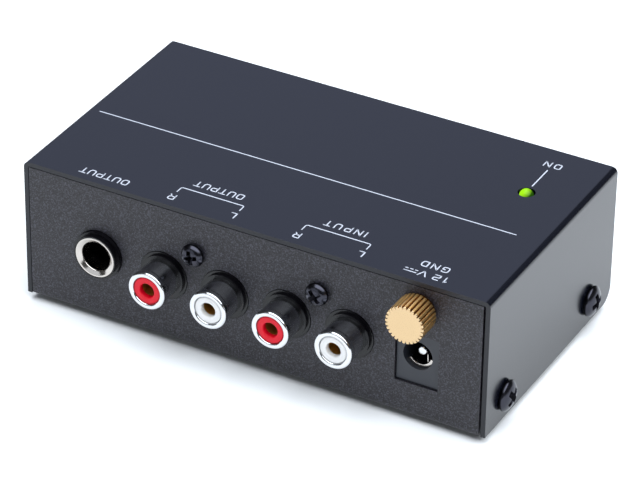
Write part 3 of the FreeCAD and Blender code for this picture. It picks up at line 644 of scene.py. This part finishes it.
def build_socket_screws(sizes):
    """One screw above each pair of RCA sockets."""
    panel = panel_face()
    for n, (low, high) in enumerate(island_boxes("rca_housing_screws")):
        centre = (low + high) / 2
        matrix = place_at(FACING_FRONT, centre.x, panel, centre.z)
        screw = cross_screw(f"socket_screw_{n + 1}", matrix, front_radius(low, high),
                            SOCKET_SCREW_DOME, sizes,
                            SOCKET_SCREW_TURNS[n % len(SOCKET_SCREW_TURNS)])
        finish_piece(screw, "screw", ["rca_housing_screws"])


def panel_face():
    """Y of the connector panel's outer face."""
    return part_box("base_chassis")[0].y / MM


# Sockets

def build_phone_jack():
    """Bright funnel-shaped ring in the jack's nose."""
    bore, lip, funnel, throat = 3.2, 0.35, 0.5, 0.75    # funnel and throat are depths
    low, high = box_of("phone_jack_ferrule")
    centre = (low + high) / 2
    rim = front_radius(low, high)
    back = low.y - high.y
    outline = [(bore, back), (rim, back), (rim, 0, 0.22), (rim - lip, 0, 0.15),
               (bore + 0.1, -funnel, 0.15), (bore, -throat, 0.1), (bore, back)]
    bm = bmesh.new()
    turned(bm, soften(outline, 0.05), 128)
    ring = to_object("jack_ring", bm, place_at(FACING_FRONT, centre.x, low.y, centre.z))
    finish_piece(ring, "ring", ["phone_jack_ferrule"])


def build_rca_socket(name):
    """Plated shell with a rolled lip, and the coloured ring inside it."""
    low, high = box_of(f"{name}_shell")
    centre = (low + high) / 2
    radius = front_radius(low, high)
    panel = panel_face()
    matrix = place_at(FACING_FRONT, centre.x, panel, centre.z)
    reach, seat = panel - low.y, panel - high.y
    inner, barrel, bead = 3.0, radius - 0.12, 1.3
    neck, shoulder = 3.75, 0.8          # the narrower end inside the housing, and where it stops
    outline = [(inner, seat), (neck, seat), (neck, shoulder), (barrel, shoulder, 0.1),
               (barrel, reach - bead - 0.3, 0.2), (radius, reach - bead, 0.3), (radius, reach, 0.7),
               (inner, reach, 0.6), (inner, seat)]
    bm = bmesh.new()
    turned(bm, soften(outline, 0.05, 12), 160)
    shell = to_object(f"{name}_plated_shell", bm, matrix)
    finish_piece(shell, "nickel", [f"{name}_shell"])

    back = panel - box_of(f"{name}_insulator")[1].y
    face = reach - 0.3
    outer, pocket, pocket_end = 2.95, 2.15, face - 0.8      # the pocket holds the centre contact
    bore, liner, mouth_end = 1.59, 1.62, face - 1.15        # a thin liner covers its front end
    outline = [(pocket, back), (outer, back), (outer, face, 0.25), (bore, face, 0.32),
               (bore, mouth_end), (liner, mouth_end), (liner, pocket_end), (pocket, pocket_end),
               (pocket, back)]
    bm = bmesh.new()
    turned(bm, soften(outline, 0.04, 5), 96)
    ring = to_object(f"{name}_colour_ring", bm, matrix)
    color = "red" if name.endswith("right") else "white"
    finish_piece(ring, color, [f"{name}_insulator"])


def build_power_pin():
    """Plated centre pin of the power socket, with a rounded tip."""
    low, high = box_of("dc_socket_pin")
    centre = (low + high) / 2
    radius = front_radius(low, high)
    length = high.y - low.y
    outline = [(0, 0), (radius, -0.1, 0.9), (radius, -length), (0, -length)]
    bm = bmesh.new()
    turned(bm, soften(outline, 0.05, 10), 64)
    pin = to_object("power_pin", bm, place_at(FACING_FRONT, centre.x, low.y, centre.z))
    finish_piece(pin, "nickel", ["dc_socket_pin"])


def build_power_spring():
    """Curved leaf low in the power socket's hole and an upright leaf at its right."""
    forward = 0.7               # the leaf's front, ahead of the solid's
    wall_gap, leaf_width = 0.03, 0.75
    leaf_from, leaf_to = 215, 345
    blade_back = 0.3            # the upright leaf's front, behind the other's
    low, high = box_of("dc_socket_spring")
    pin = middle("dc_socket_pin")
    hole = pin.z - low.z
    front = low.y - forward
    section = arc((pin.x, pin.z), hole - wall_gap, leaf_from, leaf_to, 16)
    section += arc((pin.x, pin.z), hole - leaf_width, leaf_to, leaf_from, 16)
    bm = bmesh.new()
    prism(bm, section, 1, front, high.y)
    leaf = to_object("power_spring", bm)
    soften_edges(leaf, 0.12)
    finish_piece(leaf, "ring", ["dc_socket_spring"])
    section = [(pin.x + x, pin.z + z) for x, z in
               ((1.45, -1.8), (1.8, -1.6), (1.65, 0.1), (1.45, 0.2))]
    bm = bmesh.new()
    prism(bm, section, 1, front + blade_back, high.y)
    blade = to_object("power_spring_blade", bm)
    soften_edges(blade, 0.08)
    finish_piece(blade, "ring", ["dc_socket_spring"])


# Ground screw

def build_ground_screw(sizes):
    """Knurled head on a threaded shank, and the loose washer behind it."""
    crest, head, shank = 4.15, 5.7, 1.95
    core, fade = 3.2, 0.6           # the knurl starts at this radius and is full this much further
    flat, flank = 0.07, 0.13        # half of a valley and one flank, in ridges
    chamfer, thread_depth = 0.1, 0.38
    low, high = box_of("ground_thumbscrew")
    centre = (low + high) / 2
    seat = low.y + head
    shank_end = seat - high.y

    def knurl(radius, height, angle):
        depth = sizes.ridge_depth * max(0.0, min(1.0, (radius - core) / fade))
        phase = (angle * sizes.ridges / (2 * math.pi)) % 1
        ridge = min(1.0, max(0.0, (abs(phase - 0.5) - flat) / flank))
        return radius - depth * (1 - ridge)

    outline = [(0, head), (crest - 0.6, head), (crest - chamfer, head, 0.04),
               (crest, head - chamfer, 0.04), (crest, 0.3, 0.08), (crest - 0.3, 0, 0.05),
               (shank, 0)]
    bm = bmesh.new()
    turned(bm, soften(outline, 0.05, 3), sizes.ridges * 12, knurl)
    knob = to_object("ground_knob", bm, place_at(FACING_FRONT, centre.x, seat, centre.z))
    finish_piece(knob, "brass", ["ground_thumbscrew"], "ground_screw")

    def thread(radius, height, angle):
        if radius < shank - 0.01:
            return radius
        phase = (height / sizes.pitch - angle / (2 * math.pi)) % 1
        return radius - thread_depth * abs(2 * phase - 1)

    rows = int(-shank_end / sizes.pitch * 8)
    outline = [(0, 0.05)] + [(shank, shank_end * i / rows) for i in range(rows + 1)]
    outline += [(0, shank_end)]
    bm = bmesh.new()
    turned(bm, outline, 36, thread)
    stem = to_object("ground_thread", bm, place_at(FACING_FRONT, centre.x, seat, centre.z))
    finish_piece(stem, "brass", ["ground_thumbscrew"], "ground_screw")

    low, high = box_of("captive_washer")
    inner, outer, thick = 2.0, 3.7, high.y - low.y
    outline = [(inner, -thick), (outer, -thick, 0.1), (outer, 0, 0.15), (inner, 0, 0.1),
               (inner, -thick)]
    bm = bmesh.new()
    turned(bm, soften(outline, 0.05), 64)
    washer = to_object("loose_washer", bm, place_at(FACING_FRONT, centre.x, low.y, centre.z))
    finish_piece(washer, "brass", ["captive_washer"], "ground_washer")


# Lamp

def build_lamp():
    """Round lamp whose dome stands just out of the cover."""
    radius, length, flange, flange_height = 1.5, 5.2, 1.9, 1
    lead_radius, lead_across = 0.25, 0.8
    low, high = box_of("power_led")
    centre = (low + high) / 2
    top = high.z
    base = top - length
    outline = [(radius * math.sin(math.radians(a)),
                top - radius + radius * math.cos(math.radians(a))) for a in range(0, 91, 9)]
    outline += [(radius, base + flange_height), (flange, base + flange_height), (flange, base),
                (0, base)]
    bm = bmesh.new()
    turned(bm, outline, 64)
    lamp = to_object("lamp_bulb", bm, place_at(FACING_UP, centre.x, centre.y, 0))
    finish_piece(lamp, "lamp", ["power_led"])
    for n, side in enumerate((-1, 1)):
        outline = [(0, base), (lead_radius, base), (lead_radius, low.z), (0, low.z)]
        bm = bmesh.new()
        turned(bm, soften(outline, 0.03), 16)
        place = place_at(FACING_UP, centre.x + side * lead_across, centre.y, 0)
        lead = to_object(f"lamp_lead_{n + 1}", bm, place)
        finish_piece(lead, "zinc", ["power_led"])


# Print

# Strokes of each letter in cap heights: (closed, [(across, up, corner radius), ...])
GLYPHS = {
    "O": (0.9, [(True, [(0.08, 0.5), (0.08, 0.08, 0.3), (0.82, 0.08, 0.3), (0.82, 0.92, 0.3),
                        (0.08, 0.92, 0.3), (0.08, 0.5)])]),
    "U": (0.9, [(False, [(0.08, 1), (0.08, 0.08, 0.3), (0.82, 0.08, 0.3), (0.82, 1)])]),
    "T": (0.9, [(False, [(0, 0.92), (0.9, 0.92)]), (False, [(0.45, 0.9), (0.45, 0)])]),
    "P": (0.88, [(False, [(0.08, 0), (0.08, 0.92, 0.02), (0.8, 0.92, 0.22), (0.8, 0.38, 0.22),
                          (0.08, 0.38)])]),
    "I": (0.16, [(False, [(0.08, 0), (0.08, 1)])]),
    "N": (0.92, [(False, [(0.08, 0), (0.08, 1)]), (False, [(0.84, 0), (0.84, 1)]),
                 (False, [(0.1, 0.95), (0.82, 0.05)])]),
    "R": (0.9, [(False, [(0.08, 0), (0.08, 0.92, 0.02), (0.8, 0.92, 0.22), (0.8, 0.4, 0.22),
                         (0.08, 0.4)]), (False, [(0.5, 0.4), (0.84, 0)])]),
    "L": (0.78, [(False, [(0.08, 1), (0.08, 0.08, 0.02), (0.78, 0.08)])]),
    "G": (0.92, [(False, [(0.82, 0.72), (0.82, 0.92, 0.2), (0.08, 0.92, 0.3), (0.08, 0.08, 0.3),
                          (0.84, 0.08, 0.2), (0.84, 0.5, 0.02), (0.48, 0.5)])]),
    "D": (0.9, [(True, [(0.08, 0.5), (0.08, 0.08, 0.02), (0.82, 0.08, 0.34), (0.82, 0.92, 0.34),
                        (0.08, 0.92, 0.02), (0.08, 0.5)])]),
    "V": (0.95, [(False, [(0.06, 1), (0.47, 0.04)]), (False, [(0.47, 0.04), (0.89, 1)])]),
    "1": (0.42, [(False, [(0.34, 0), (0.34, 1)]), (False, [(0.02, 0.74), (0.34, 0.94)])]),
    "2": (0.88, [(False, [(0.06, 0.92), (0.8, 0.92, 0.2), (0.8, 0.5, 0.2), (0.08, 0.5, 0.2),
                          (0.08, 0.08, 0.02), (0.86, 0.08)])]),
    "=": (1.25, [(False, [(0, 0.74), (1.25, 0.74)]), (False, [(0, 0.32), (0.31, 0.32)]),
                 (False, [(0.47, 0.32), (0.78, 0.32)]), (False, [(0.94, 0.32), (1.25, 0.32)])]),
}
# Places on the cover, as X from the case's left side and Y from its front
LABELS = (                      # (text, right end, left end, middle's Y)
    ("OUTPUT", 22.7, 11.6, 3.0), ("OUTPUT", 45.2, 34.06, 9.73), ("R", 33.5, 31.9, 3.0),
    ("L", 47.25, 45.85, 3.05), ("INPUT", 72.7, 63.45, 9.75), ("R", 61.8, 60.2, 2.9),
    ("L", 75.6, 74.2, 3.2), ("GND", 92.6, 86.6, 6.25), ("12", 93.9, 90.75, 3.0),
    ("V", 89.55, 87.6, 3.0), ("=", 87.35, 84.55, 3.0), ("ON", 94.75, 90.95, 51.45),
)
BRACKETS = (                    # open lines over the letters of a pair of sockets
    ((60.8, 5.1), (60.8, 7.18), (75.1, 7.18), (75.1, 5.1)),
    ((32.6, 5.1), (32.6, 7.06), (46.85, 7.06), (46.85, 5.1)),
)
LEADER = ((92.7, 42.2), (92.7, 49.3))   # from the lamp to its word
RULE = ((2.9, 24.33), (98.0, 24.33))    # across the cover
WORD_WIDTH = 0.86               # share of a letter's own width that it has in a word
LINE_WIDTH = 0.25
LINE_CORNER = 0.5


def ribbon(bm, points, width, closed, top, film):
    """Flat stroke of ink along a path, with its two long sides and its ends."""
    tightest = 0.6              # keeps the stroke from spreading far out at sharp corners
    count = len(points)
    rows = []
    for i, here in enumerate(points):
        before = points[i - 1] if i else (points[-2] if closed else None)
        after = points[i + 1] if i + 1 < count else (points[1] if closed else None)
        ways = []
        if before is not None and (here - before).length > TINY:
            ways.append((here - before).normalized())
        if after is not None and (after - here).length > TINY:
            ways.append((after - here).normalized())
        way = sum(ways, Vector((0, 0))).normalized()
        across = Vector((-way.y, way.x))
        offset = across * width / 2 / max(tightest, way.dot(ways[0]))
        rows.append([bm.verts.new((p.x, p.y, z)) for z in (top, top - film)
                     for p in (here + offset, here - offset)])
    for low, high in zip(rows, rows[1:]):
        for a, b in ((0, 1), (2, 0), (1, 3), (3, 2)):
            bm.faces.new((low[a], low[b], high[b], high[a]))
    if not closed:
        for row in (rows[0], rows[-1]):
            bm.faces.new((row[0], row[2], row[3], row[1]))


def write_label(bm, text, start, end, centre, sizes, origin, top):
    """Letters that read towards -X with their tops towards the connector panel."""
    word = len(text) > 1
    wide = sizes.cap * (WORD_WIDTH if word else 1)
    widths = [GLYPHS[letter][0] * wide for letter in text]
    gap = (start - end - sum(widths)) / max(1, len(text) - 1)
    stretch = 1.0 if word else (start - end) / widths[0]
    along = start
    for letter, width in zip(text, widths):
        for closed, stroke in GLYPHS[letter][1]:
            path = [Vector((origin.x + along - p.x * wide * stretch,
                            origin.y + centre - (p.y - 0.5) * sizes.cap))
                    for p in soften(stroke, 0.02, 5)]
            ribbon(bm, path, sizes.stroke, closed, top, sizes.film)
        along -= width + gap


def build_print(sizes):
    """Generic labels, brackets and lines of ink on the cover."""
    low, high = box_of("top_cover")
    top = high.z + sizes.film
    bm = bmesh.new()
    for text, start, end, centre in LABELS:
        write_label(bm, text, start, end, centre, sizes, low, top)
    finish_piece(to_object("print_labels", bm), "ink")
    bm = bmesh.new()
    for line in BRACKETS + (LEADER, RULE):
        path = [Vector((low.x + p.x, low.y + p.y)) for p in soften(line, LINE_CORNER, 6)]
        ribbon(bm, path, LINE_WIDTH, False, top, sizes.film)
    finish_piece(to_object("print_lines", bm), "ink")


# Finishes of the CAD pieces that stay in view: material, and rounding of the edges in millimetres

CAD_FINISHES = {
    "base_chassis": ("chassis", 0.12), "output_rca_housing": ("housing", 0.03),
    "input_rca_housing": ("housing", 0.03), "phone_jack_housing": ("housing", 0.15),
    "dc_socket_housing": ("power", 0.12), "rubber_feet": ("rubber", 0.1),
    "dc_socket_spring": ("nickel", 0.04), "rca_centre_contacts": ("contact", 0),
    "phone_jack_contacts": ("contact", 0.05), "ground_bush": ("contact", 0.08),
    "circuit_board": ("board", 0.05), "board_standoffs": ("zinc", 0.1),
    "board_screws": ("zinc", 0.08), "led_spacer": ("nylon", 0.1), "op_amps": ("chip", 0.05),
    "voltage_regulator": ("chip", 0.06), "electrolytic_capacitors": ("sleeve", 0.08),
    "film_capacitors": ("film", 0.08), "resistors": ("resistor", 0.05),
    "guard_diode": ("diode", 0.05),
}


def finish_cad_pieces():
    """Materials and edge rounding for the CAD solids that are shown as they are."""
    flat_angle, sharp_angle = 0.5, 35       # in degrees
    for name, (material, edge) in CAD_FINISHES.items():
        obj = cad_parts[name]
        for slot in obj.material_slots:
            slot.material = MATERIALS[material]
        if edge:
            flat = obj.modifiers.new("flats", "DECIMATE")
            flat.decimate_type = "DISSOLVE"
            flat.angle_limit = math.radians(flat_angle)
            soften_edges(obj, edge, angle=sharp_angle)


# Stage

FLOOR_REACH = 900
# (name, its power's setting, sizes, place, target, colour)
LIGHTS = (
    ("key_light", "key_power", (3000, 2000), (750, -100, 1400), (750, -100, 0), (0.88, 0.94, 1.0)),
    ("back_light", "back_power", (1500, 1100), (-900, 1500, 1100), (0, 0, 0), (0.63, 0.71, 1.0)),
    ("front_light", "front_power", (1500, 900), (-600, -1600, 500), (0, 0, 0), (0.85, 0.92, 1.0)),
)
# Camera fitted to the photograph's edges; the shifts are shares of its longer side
CAMERA_AZIMUTH = 27.791
CAMERA_ELEVATION = 32.743
CAMERA_ROLL = 1.153
CAMERA_DISTANCE = 747.5
CAMERA_TARGET = (6.305, 2.598, 11.783)
CAMERA_SENSOR = 36
CAMERA_LENS = 207.4
CAMERA_SHIFT_X = -0.0389
CAMERA_SHIFT_Y = 0.0365
CAMERA_NEAR = 0.01              # in metres
CAMERA_FAR = 20


def build_floor():
    """Pale floor that keeps the object's shadow; from below it is clear, to show the underside."""
    bm = bmesh.new()
    bm.faces.new([bm.verts.new((x * FLOOR_REACH, y * FLOOR_REACH, 0))
                  for x, y in ((-1, -1), (1, -1), (1, 1), (-1, 1))])
    bm.normal_update()
    floor = to_object("floor", bm)
    material, tree, shader = new_material("white_studio_board", "#F7F7F7", 0.9,
                                          Specular_IOR_Level=0.0)
    side = add_node(tree, "ShaderNodeNewGeometry")
    clear = add_node(tree, "ShaderNodeBsdfTransparent")
    mix = add_node(tree, "ShaderNodeMixShader", {"Fac": side.outputs["Backfacing"]})
    tree.links.new(shader.outputs["BSDF"], mix.inputs[1])
    tree.links.new(clear.outputs["BSDF"], mix.inputs[2])
    tree.links.new(mix.outputs["Shader"], tree.nodes["Material Output"].inputs["Surface"])
    floor.data.materials.append(material)


def soft_light(name, power, size, place, target, color):
    """Soft area light that faces the target; places are in millimetres."""
    data = bpy.data.lights.new(name, "AREA")
    data.energy = power
    data.color = color
    data.shape = "RECTANGLE"
    data.size = size[0] * MM
    data.size_y = size[1] * MM
    light = bpy.data.objects.new(name, data)
    bpy.context.scene.collection.objects.link(light)
    way = Vector(target) - Vector(place)
    light.location = Vector(place) * MM
    light.rotation_euler = way.to_track_quat("-Z", "Y").to_euler()


def build_room(brightness):
    """Dim room for light and reflections, plain white behind the object."""
    world = bpy.data.worlds.new("studio")
    bpy.context.scene.world = world
    world.use_nodes = True
    tree = world.node_tree
    tree.nodes.clear()
    path = add_node(tree, "ShaderNodeLightPath")
    strength = add_node(tree, "ShaderNodeMapRange", {"Value": path.outputs["Is Camera Ray"]},
                        To_Min=brightness, To_Max=1.0)
    shade = add_node(tree, "ShaderNodeBackground", {"Strength": strength.outputs["Result"]},
                     Color=(1, 1, 1, 1))
    add_node(tree, "ShaderNodeOutputWorld", {"Surface": shade.outputs["Background"]})


def build_camera():
    """Camera at the photograph's viewing angle."""
    azimuth, elevation, roll = (math.radians(a) for a in
                                (CAMERA_AZIMUTH, CAMERA_ELEVATION, CAMERA_ROLL))
    back = Vector((math.sin(azimuth) * math.cos(elevation),
                   -math.cos(azimuth) * math.cos(elevation), math.sin(elevation)))
    right = Vector((math.cos(azimuth), math.sin(azimuth), 0))
    up = back.cross(right)
    rolled_right = right * math.cos(roll) + up * math.sin(roll)
    rolled_up = up * math.cos(roll) - right * math.sin(roll)
    data = bpy.data.cameras.new("camera")
    data.sensor_width = CAMERA_SENSOR
    data.lens = CAMERA_LENS
    data.shift_x = CAMERA_SHIFT_X
    data.shift_y = CAMERA_SHIFT_Y
    data.clip_start = CAMERA_NEAR
    data.clip_end = CAMERA_FAR
    camera = bpy.data.objects.new("camera", data)
    bpy.context.scene.collection.objects.link(camera)
    spin = Matrix((rolled_right, rolled_up, back)).transposed().to_4x4()
    place = (Vector(CAMERA_TARGET) + back * CAMERA_DISTANCE) * MM
    camera.matrix_world = Matrix.Translation(place) @ spin
    bpy.context.scene.camera = camera


def build_stage(sizes):
    """Floor, lights, room and camera."""
    build_floor()
    for name, power, size, place, target, color in LIGHTS:
        soft_light(name, getattr(sizes, power), size, place, target, color)
    build_room(sizes.fill)
    build_camera()
    bpy.context.scene.view_settings.view_transform = "Standard"


# Operators

class PREAMP_OT_cover(bpy.types.Operator):
    """Build the folded cover"""
    bl_idname = "preamp.cover"
    bl_label = "Cover"

    def execute(self, context):
        build_cover(context.scene.preamp.case)
        return {"FINISHED"}


class PREAMP_OT_screws(bpy.types.Operator):
    """Build the cross-recess screws"""
    bl_idname = "preamp.screws"
    bl_label = "Screws"

    def execute(self, context):
        build_cover_screws(context.scene.preamp.screws)
        build_socket_screws(context.scene.preamp.screws)
        return {"FINISHED"}


class PREAMP_OT_phone_jack(bpy.types.Operator):
    """Build the phone jack's ring"""
    bl_idname = "preamp.phone_jack"
    bl_label = "Phone jack"

    def execute(self, context):
        build_phone_jack()
        return {"FINISHED"}


class PREAMP_OT_rca_sockets(bpy.types.Operator):
    """Build the four RCA sockets"""
    bl_idname = "preamp.rca_sockets"
    bl_label = "RCA sockets"

    def execute(self, context):
        for name in SOCKETS:
            build_rca_socket(name)
        return {"FINISHED"}


class PREAMP_OT_power_socket(bpy.types.Operator):
    """Build the power socket's pin and springs"""
    bl_idname = "preamp.power_socket"
    bl_label = "Power socket"

    def execute(self, context):
        build_power_pin()
        build_power_spring()
        return {"FINISHED"}


class PREAMP_OT_ground_screw(bpy.types.Operator):
    """Build the knurled ground screw and its washer"""
    bl_idname = "preamp.ground_screw"
    bl_label = "Ground screw"

    def execute(self, context):
        build_ground_screw(context.scene.preamp.ground)
        return {"FINISHED"}


class PREAMP_OT_lamp(bpy.types.Operator):
    """Build the power lamp"""
    bl_idname = "preamp.lamp"
    bl_label = "Lamp"

    def execute(self, context):
        build_lamp()
        return {"FINISHED"}


class PREAMP_OT_print(bpy.types.Operator):
    """Build the print on the cover"""
    bl_idname = "preamp.print"
    bl_label = "Print"

    def execute(self, context):
        build_print(context.scene.preamp.ink)
        return {"FINISHED"}


class PREAMP_OT_cad_finishes(bpy.types.Operator):
    """Give the CAD pieces their finishes"""
    bl_idname = "preamp.cad_finishes"
    bl_label = "CAD finishes"

    def execute(self, context):
        finish_cad_pieces()
        return {"FINISHED"}


class PREAMP_OT_stage(bpy.types.Operator):
    """Build the floor, the lights and the camera"""
    bl_idname = "preamp.stage"
    bl_label = "Stage"

    def execute(self, context):
        build_stage(context.scene.preamp.stage)
        return {"FINISHED"}


OPERATORS = (PREAMP_OT_cover, PREAMP_OT_screws, PREAMP_OT_phone_jack, PREAMP_OT_rca_sockets,
             PREAMP_OT_power_socket, PREAMP_OT_ground_screw, PREAMP_OT_lamp, PREAMP_OT_print,
             PREAMP_OT_cad_finishes, PREAMP_OT_stage)


class PREAMP_PT_sidebar(bpy.types.Panel):
    """Buttons and sizes in the 3D view's sidebar"""
    bl_idname = "PREAMP_PT_sidebar"
    bl_label = "Phono preamp"
    bl_space_type = "VIEW_3D"
    bl_region_type = "UI"
    bl_category = "Preamp"

    def draw(self, context):
        settings = context.scene.preamp
        for group in (settings.case, settings.screws, settings.ground, settings.ink,
                      settings.stage):
            column = self.layout.column(align=True)
            for name in group.__annotations__:
                column.prop(group, name)
        for operator in OPERATORS:
            self.layout.operator(operator.bl_idname)


CLASSES = (PreampCase, PreampScrews, PreampGround, PreampPrint, PreampStage, PreampSettings,
           *OPERATORS, PREAMP_PT_sidebar)


def register():
    for cls in CLASSES:
        bpy.utils.register_class(cls)
    bpy.types.Scene.preamp = PointerProperty(type=PreampSettings)


def unregister():
    del bpy.types.Scene.preamp
    for cls in reversed(CLASSES):
        bpy.utils.unregister_class(cls)


def build_all():
    """Register the add-on, make the materials and run its operators in order."""
    register()
    MATERIALS.update(make_materials())
    for operator in OPERATORS:
        area, name = operator.bl_idname.split(".")
        getattr(getattr(bpy.ops, area), name)()


if __name__ == "__main__":
    build_all()
